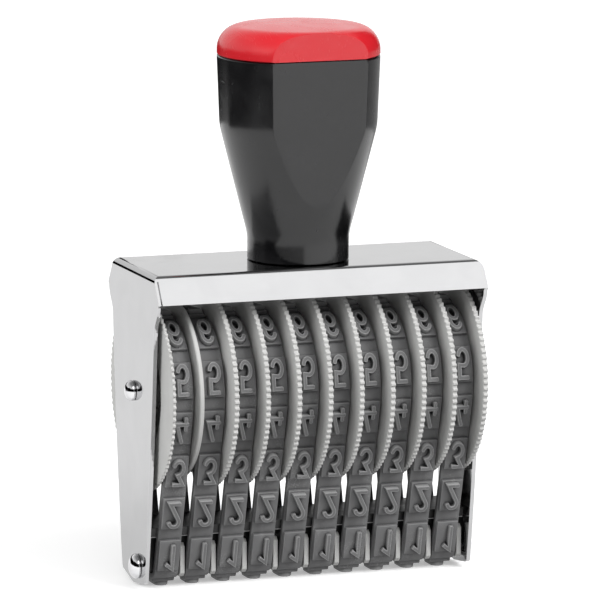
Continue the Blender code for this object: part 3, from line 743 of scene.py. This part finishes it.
def faceted_ring(z, radius, soften=0.6, flat=6, corner=4, side=44):
    """A circle cut by the front and back facets, with softened borders, as (x, y, z) points."""
    soft = min(soften, 0.3 * radius)
    reach = radius - soft
    depth = min(facet_depth(z) - soft, reach * math.cos(math.radians(0.4)))
    across = math.sqrt(reach**2 - depth**2)
    border = math.atan2(-depth, across)
    half = [(across * i / flat, -(depth + soft)) for i in range(flat)]
    half += arc((across, -depth), soft, -math.pi / 2, border, corner)
    half += arc((0.0, 0.0), radius, border, -border, side)[1:-1]
    half += arc((across, depth), soft, -border, math.pi / 2, corner)
    half += [(across * i / flat, depth + soft) for i in reversed(range(1, flat))]
    half.append((0.0, depth + soft))
    ring = half + [(-x, y) for x, y in reversed(half[1:-1])]
    return [(x, y, z) for x, y in ring]


def faceted_mesh(name, profile):
    """A turned profile of (radius, height) with the facets, closed by a face at each end."""
    points, faces = [], []
    rings = [faceted_ring(z, radius) for radius, z in profile]
    size = len(rings[0])
    for ring in rings:
        points += ring
    for i in range(len(rings) - 1):
        for k in range(size):
            m = (k + 1) % size
            faces.append((i * size + k, i * size + m, (i + 1) * size + m, (i + 1) * size + k))
    faces.append(tuple(range(size)))
    last = (len(rings) - 1) * size
    faces.append(tuple(last + k for k in reversed(range(size))))
    return mesh_of(name, points, faces)


def run_between(start, end, step):
    """Points from start, left out, to end, about a step apart."""
    count = max(1, round(math.hypot(end[0] - start[0], end[1] - start[1]) / step))
    return [
        (start[0] + (end[0] - start[0]) * i / count, start[1] + (end[1] - start[1]) * i / count)
        for i in range(1, count + 1)
    ]


def softened(points, reach, steps=6):
    """The profile with each inner corner replaced by a quadratic curve of this reach."""
    found = [points[0]]
    for before, here, after in zip(points, points[1:], points[2:]):
        here_v, before_v, after_v = Vector(here), Vector(before), Vector(after)
        a = here_v + (before_v - here_v).normalized() * min(reach, (before_v - here_v).length * 0.45)
        b = here_v + (after_v - here_v).normalized() * min(reach, (after_v - here_v).length * 0.45)
        for i in range(steps + 1):
            t = i / steps
            found.append(tuple(a * (1 - t) ** 2 + here_v * (2 * t * (1 - t)) + b * t**2))
    return found + [points[-1]]


def build_handle():
    foot = TOP_Z + HANDLE_FOOT_GAP
    outer = [
        (NECK_RADIUS, foot + 0.15),
        (NECK_RADIUS, NECK_TOP_Z),
        (CREASE_RADIUS, CREASE_Z),
        (SEAM_RADIUS, SEAM_Z - 0.2),
    ]
    curve = softened(outer, 1.5)
    profile = [(SCREW_BORE, SCREW_BORE_TOP), (SCREW_BORE, foot), (NECK_RADIUS - 0.2, foot), curve[0]]
    for start, end in zip(curve, curve[1:]):
        profile += run_between(start, end, 0.8)
    profile += [(SEAM_RADIUS - 0.2, SEAM_Z)]
    profile += [(SOCKET_RADIUS, SEAM_Z), (SOCKET_RADIUS, SEAM_Z - SOCKET_DEPTH)]
    mesh = faceted_mesh("turned_handle", profile)
    add_piece("turned_handle", mesh, BLACK, "stamp", ["handle_body"], 40.0)
    under = SEAM_Z + CAP_GAP
    edge = CAP_EDGE
    side = SEAM_RADIUS
    profile = [(SPIGOT_RADIUS, SEAM_Z - SPIGOT_LENGTH), (SPIGOT_RADIUS, under)]
    profile += [(side - 0.2, under), (side, under + 0.2)]
    profile += run_between((side, under + 0.2), (side, CAP_TOP_Z - edge), 0.4)
    profile += arc((side - edge, CAP_TOP_Z - edge), edge, 0.0, math.pi / 2 * 0.97, 26)[1:]
    radius, height = profile[-1]
    for share in (0.9, 0.75, 0.5, 0.25, 0.03):
        profile.append((radius * share, height + CAP_CROWN * (1 - share**2) ** 0.8))
    mesh = faceted_mesh("domed_cap", profile)
    add_piece("domed_cap", mesh, RED, "stamp", ["handle_cap"], 40.0)


# Frame
def flat_plate(name, outline, thickness):
    """A prism from an outline in local XY, in millimetres, as an object for cutting."""
    count = len(outline)
    points = [(x, y, -thickness / 2) for x, y in outline] + [(x, y, thickness / 2) for x, y in outline]
    faces = [tuple(range(count)), tuple(count + i for i in reversed(range(count)))]
    faces += [(i, (i + 1) % count, count + (i + 1) % count, count + i) for i in range(count)]
    piece = bpy.data.objects.new(name, mesh_of(name, points, faces))
    bpy.context.scene.collection.objects.link(piece)
    return piece


def combine(piece, other, operation):
    modifier = piece.modifiers.new(operation, "BOOLEAN")
    modifier.operation = operation
    modifier.object = other
    modifier.solver = "EXACT"
    bpy.context.view_layer.update()
    graph = bpy.context.evaluated_depsgraph_get()
    mesh = bpy.data.meshes.new_from_object(piece.evaluated_get(graph))
    piece.modifiers.clear()
    piece.data = mesh
    bpy.data.objects.remove(other, do_unlink=True)


def fillet(before, corner, after, radius, steps):
    """An arc of this radius in place of a corner."""
    before, corner, after = Vector(before), Vector(corner), Vector(after)
    first = (before - corner).normalized()
    second = (after - corner).normalized()
    half = first.angle(second) / 2
    centre = corner + (first + second).normalized() * (radius / math.sin(half))
    a = corner + first * (radius / math.tan(half)) - centre
    b = corner + second * (radius / math.tan(half)) - centre
    turn = a.angle_signed(b)
    points = []
    for i in range(steps + 1):
        angle = -turn * i / steps
        cosine, sine = math.cos(angle), math.sin(angle)
        rotated = Vector((a.x * cosine - a.y * sine, a.x * sine + a.y * cosine))
        points.append(tuple(centre + rotated))
    return points


def side_outline():
    """The frame's outline seen from the side, in (Y, Z)."""
    shoulder_depth, shoulder_z = 14.1, 57.0
    foot_depth, foot_z = 7.8, 2.4
    visor = (VISOR_HALF_DEPTH, VISOR_BOTTOM_Z)
    half = fillet((0.0, TOP_Z), (TOP_HALF_DEPTH, TOP_Z), visor, 1.3, 8) + [visor]
    neck_top = VISOR_BOTTOM_Z - 0.5
    sweep = VISOR_HALF_DEPTH - 0.5 - shoulder_depth
    for i in range(17):
        ease = (1 + math.cos(math.pi * i / 16)) / 2
        half.append((shoulder_depth + sweep * ease, neck_top + (shoulder_z - neck_top) * i / 16))
    for i in range(1, 20):
        depth = shoulder_depth + (foot_depth - shoulder_depth) * i / 20
        height = shoulder_z + (foot_z - shoulder_z) * i / 20
        half.append((depth + 0.6 * math.sin(math.pi * i / 20), height))
    back_foot = [(7.8, 3.3), (7.72, 2.75), (7.3, 2.3), (0.9, 0.6)]
    front_foot = [(7.8, 2.7), (7.74, 2.1), (7.45, 1.65), (6.8, 1.35), (0.9, 0.6)]
    front = [(-y, z) for y, z in reversed(half + front_foot)]
    return half + back_foot + [(0.0, 0.5)] + front


def build_frame():
    depth = 2 * (VISOR_HALF_DEPTH + 2)
    outline = [(FRAME_HALF_WIDTH, -2.0)]
    right, left = RIGHT_BEND, LEFT_BEND
    outline += arc((FRAME_HALF_WIDTH - right, TOP_Z - right), right, 0.0, math.pi / 2, 12)
    outline += arc((left - FRAME_HALF_WIDTH, TOP_Z - left), left, math.pi / 2, math.pi, 10)
    outline.append((-FRAME_HALF_WIDTH, -2.0))
    piece = flat_plate("pressed_frame", outline, depth)
    place(piece, Matrix.Rotation(math.pi / 2, 4, "X"))
    to_side = Matrix.Rotation(math.pi / 2, 4, "Z") @ Matrix.Rotation(math.pi / 2, 4, "X")
    trim = flat_plate("trim", side_outline(), 2 * FRAME_HALF_WIDTH + 4)
    place(trim, to_side)
    combine(piece, trim, "INTERSECT")
    drop, flare = TOP_Z - VISOR_BOTTOM_Z, VISOR_HALF_DEPTH - TOP_HALF_DEPTH
    inset = SHEET * math.hypot(drop, flare) / drop
    half = [
        (TOP_HALF_DEPTH + SHEET * flare / drop - inset, TOP_Z - SHEET),
        (VISOR_HALF_DEPTH - inset, VISOR_BOTTOM_Z),
        (VISOR_HALF_DEPTH + 2, VISOR_BOTTOM_Z),
        (VISOR_HALF_DEPTH + 2, -4.0),
    ]
    hollow = flat_plate("hollow", half + [(-y, z) for y, z in reversed(half)], 2 * PLATE_INNER_X)
    place(hollow, to_side)
    combine(piece, hollow, "DIFFERENCE")
    for side, end in ((-1.0, -1.0), (-1.0, 1.0), (1.0, 1.0)):
        across, up = SLIT_WIDTH / 2, (drop + 1.0) / 2
        corners = [(-across, -up), (across, -up), (across, up), (-across, up)]
        slit = flat_plate("slit", corners, SLIT_REACH)
        place(slit, Matrix.Rotation(math.pi / 2, 4, "X"))
        slit_at = (side * SLIT_X, end * (SLIT_START + SLIT_REACH / 2), TOP_Z - SHEET - up)
        place(slit, Matrix.Translation([value * MM for value in slit_at]))
        combine(piece, slit, "DIFFERENCE")
    for y, z, radius in ((0.0, AXLE_Z, AXLE_HOLE_RADIUS), (RIVET_Y, RIVET_HOLE_Z, RIVET_HOLE_RADIUS)):
        hole = flat_plate("hole", circle(radius), 2 * FRAME_HALF_WIDTH + 4)
        place(hole, Matrix.Translation((0.0, y * MM, z * MM)) @ to_side)
        combine(piece, hole, "DIFFERENCE")
    hole = flat_plate("hole", circle(SCREW_BORE), 4 * SHEET)
    place(hole, Matrix.Translation((0.0, 0.0, TOP_Z * MM)))
    combine(piece, hole, "DIFFERENCE")
    soften_edges(piece.data, SHEET_EDGE)
    mesh = piece.data
    bpy.data.objects.remove(piece, do_unlink=True)
    piece = add_piece("pressed_frame", mesh, CHROME, "stamp", ["frame"], 40.0)
    even = piece.modifiers.new("even_normals", "WEIGHTED_NORMAL")
    even.weight = 100
    even.keep_sharp = True


def soften_edges(mesh, width):
    """Rounds the sharp edges of a sheet piece, with the rounding clamped where neighbouring roundings would
    overlap, as at its slits.
    """
    work = bmesh.new()
    work.from_mesh(mesh)
    bmesh.ops.remove_doubles(work, verts=work.verts, dist=0.002 * MM)
    bmesh.ops.dissolve_limit(work, angle_limit=math.radians(0.05), verts=work.verts, edges=work.edges)
    chosen = []
    for edge in work.edges:
        if len(edge.link_faces) == 2 and edge.calc_face_angle(0.0) > math.radians(32):
            chosen.append(edge)
    bmesh.ops.bevel(
        work, geom=chosen, offset=width * MM, segments=3, affect="EDGES", profile=0.5, clamp_overlap=True
    )
    bmesh.ops.recalc_face_normals(work, faces=work.faces)
    work.to_mesh(mesh)
    work.free()


# Carried-over CAD nodes
def dress_node(name, material, bevel_mm):
    """A CAD node keeps its shape and gets its finish and softened edges."""
    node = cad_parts[name]
    node.data.materials.clear()
    node.data.materials.append(material)
    weld = node.modifiers.new("weld", "WELD")
    weld.merge_threshold = 0.001 * MM
    flatten = node.modifiers.new("flatten", "DECIMATE")
    flatten.decimate_type = "DISSOLVE"
    flatten.angle_limit = math.radians(0.5)
    bevel = node.modifiers.new("bevel", "BEVEL")
    bevel.width = bevel_mm * MM
    bevel.segments = 2
    bevel.limit_method = "ANGLE"
    bevel.angle_limit = math.radians(32)


def dress_cad():
    dress_node("bridge_bar", BLACK_STEEL, 0.2)
    dress_node("handle_screw", ZINC, 0.15)
    dress_node("handle_washer", ZINC, 0.1)
    for index in range(BAND_COUNT):
        dress_node(f"band_guide_{index + 1:02d}", GREY, 0.12)


# Stage
def toward(right, rise, distance):
    """A place at this many degrees right of the front and above the floor, in metres."""
    right, rise = math.radians(right), math.radians(rise)
    flat = distance * math.cos(rise)
    return Vector((flat * math.sin(right), -flat * math.cos(right), distance * math.sin(rise)))


def add_light(name, place_at, size, power, reflected):
    data = bpy.data.lights.new(name, "AREA")
    data.shape = "RECTANGLE"
    data.size, data.size_y = size
    data.energy = power
    light = bpy.data.objects.new(name, data)
    bpy.context.scene.collection.objects.link(light)
    middle = Vector((0.0, 0.0, 0.06))
    light.location = middle + place_at
    light.rotation_mode = "QUATERNION"
    light.rotation_quaternion = (-place_at).to_track_quat("-Z", "Y")
    light.visible_glossy = reflected


def add_screen(name, start, end, low, high, tone):
    """A curved screen, from one bearing to another, that only shows in reflections."""
    steps = 24
    points, faces = [], []
    for i in range(steps + 1):
        foot = toward(start + (end - start) * i / steps, 0.0, SCREEN_RADIUS)
        points += [(foot.x, foot.y, low), (foot.x, foot.y, high)]
    for i in range(steps):
        faces.append((2 * i, 2 * i + 2, 2 * i + 3, 2 * i + 1))
    mesh = bpy.data.meshes.new(name)
    mesh.from_pydata(points, [], faces)
    wall = bpy.data.objects.new(name, mesh)
    bpy.context.scene.collection.objects.link(wall)
    cloth = Surface(f"{name}_cloth", (0.002, 0.002, 0.002), 1.0, Specular_IOR_Level=0.0)
    cloth.shader.inputs["Emission Color"].default_value = (1.0, 1.0, 1.0, 1.0)
    cloth.shader.inputs["Emission Strength"].default_value = tone
    mesh.materials.append(cloth.material)
    wall.visible_camera = False
    wall.visible_diffuse = False
    wall.visible_shadow = False


def build_floor():
    mesh = bpy.data.meshes.new("floor")
    mesh.from_pydata([(-8, -8, 0), (8, -8, 0), (8, 8, 0), (-8, 8, 0)], [], [(0, 1, 2, 3)])
    floor = bpy.data.objects.new("floor", mesh)
    bpy.context.scene.collection.objects.link(floor)
    surface = Surface("floor_paper", (0.86, 0.86, 0.86), 0.75, Specular_IOR_Level=0.2)
    cloud = surface.noise(400.0, 2.0)
    surface.colour(surface.mix(cloud, (0.87, 0.87, 0.87), (0.85, 0.85, 0.85)))
    surface.bump(surface.noise(0.8, 2.0), 0.004, 0.3)
    length = surface.tree.nodes.new("ShaderNodeVectorMath")
    length.operation = "LENGTH"
    surface.link(surface.coordinates, length.inputs[0])
    glow = surface.remap(length.outputs["Value"], 0.25, 1.6, FLOOR_GLOW_NEAR, FLOOR_GLOW_FAR)
    surface.link(glow, surface.shader.inputs["Emission Strength"])
    surface.shader.inputs["Emission Color"].default_value = (1.0, 1.0, 1.0, 1.0)
    mesh.materials.append(surface.material)
    floor.visible_diffuse = False


def build_world():
    """White to the camera; dimmer as fill light; pale at the sides and darker above in reflections."""
    world = bpy.data.worlds.new("studio")
    bpy.context.scene.world = world
    world.use_nodes = True
    tree = world.node_tree
    split = tree.nodes.new("ShaderNodeSeparateXYZ")
    tree.links.new(tree.nodes.new("ShaderNodeTexCoord").outputs["Generated"], split.inputs["Vector"])
    path = tree.nodes.new("ShaderNodeLightPath")

    def level(low, high, at_low, at_high):
        node = tree.nodes.new("ShaderNodeMapRange")
        node.inputs["From Min"].default_value = low
        node.inputs["From Max"].default_value = high
        node.inputs["To Min"].default_value = at_low
        node.inputs["To Max"].default_value = at_high
        tree.links.new(split.outputs["Z"], node.inputs["Value"])
        return node.outputs["Result"]

    def choose(factor, first, second):
        node = tree.nodes.new("ShaderNodeMix")
        tree.links.new(factor, node.inputs[0])
        tree.links.new(first, node.inputs[2])
        tree.links.new(second, node.inputs[3])
        return node.outputs[0]

    fill = level(-0.3, 0.8, FILL_BELOW, FILL_ABOVE)
    reflected = level(0.40, 0.90, REFLECTED_SIDE, REFLECTED_ABOVE)
    seen = level(0.0, 1.0, 1.0, 1.0)
    strength = choose(path.outputs["Is Glossy Ray"], fill, reflected)
    strength = choose(path.outputs["Is Camera Ray"], strength, seen)
    tree.links.new(strength, tree.nodes["Background"].inputs["Strength"])
    tree.nodes["Background"].inputs["Color"].default_value = (1.0, 1.0, 1.0, 1.0)


# Lights: name, (bearing, rise, distance), size in metres, power in watts, seen in reflections
LIGHTS = (
    ("softbox", (18.0, 48.0, 1.1), (1.7, 0.55), 4.2, True),
    ("key", (35.0, 35.0, 1.2), (0.6, 0.6), 8.8, False),
    ("fill", (-75.0, 20.0, 1.0), (0.6, 0.6), 5.5, False),
)

# Screens: name, first and last bearing, lower and upper edge in metres, glow
SCREENS = (
    ("left_screen", -6.0, -100.0, 0.0, 0.20, 0.0),
    ("far_left_screen", -100.0, -140.0, 0.0, 0.15, 0.0),
    ("back_strip", -140.0, -195.0, 0.03, 0.12, 0.0),
    ("right_low_screen", 78.0, 172.0, 0.0, 0.085, 0.45),
    ("right_high_screen", 78.0, 140.0, 0.085, 0.45, 0.0),
)
SCREEN_RADIUS = 0.40

# Brightness of the floor's own glow and of the world, as fill light and in reflections
FLOOR_GLOW_NEAR = 0.34
FLOOR_GLOW_FAR = 0.85
FILL_BELOW = 0.35
FILL_ABOVE = 0.60
REFLECTED_SIDE = 0.98
REFLECTED_ABOVE = 0.25


def build_stage():
    build_floor()
    build_world()
    for name, place_at, size, power, reflected in LIGHTS:
        add_light(name, toward(*place_at), size, power, reflected)
    for name, start, end, low, high, tone in SCREENS:
        add_screen(name, start, end, low, high, tone)
    bpy.context.scene.view_settings.view_transform = "Standard"


make_camera()
build_stage()
WAY = Way()
build_frame()
build_rods()
build_wheels()
build_spacer()
build_bands(WAY)
build_handle()
dress_cad()
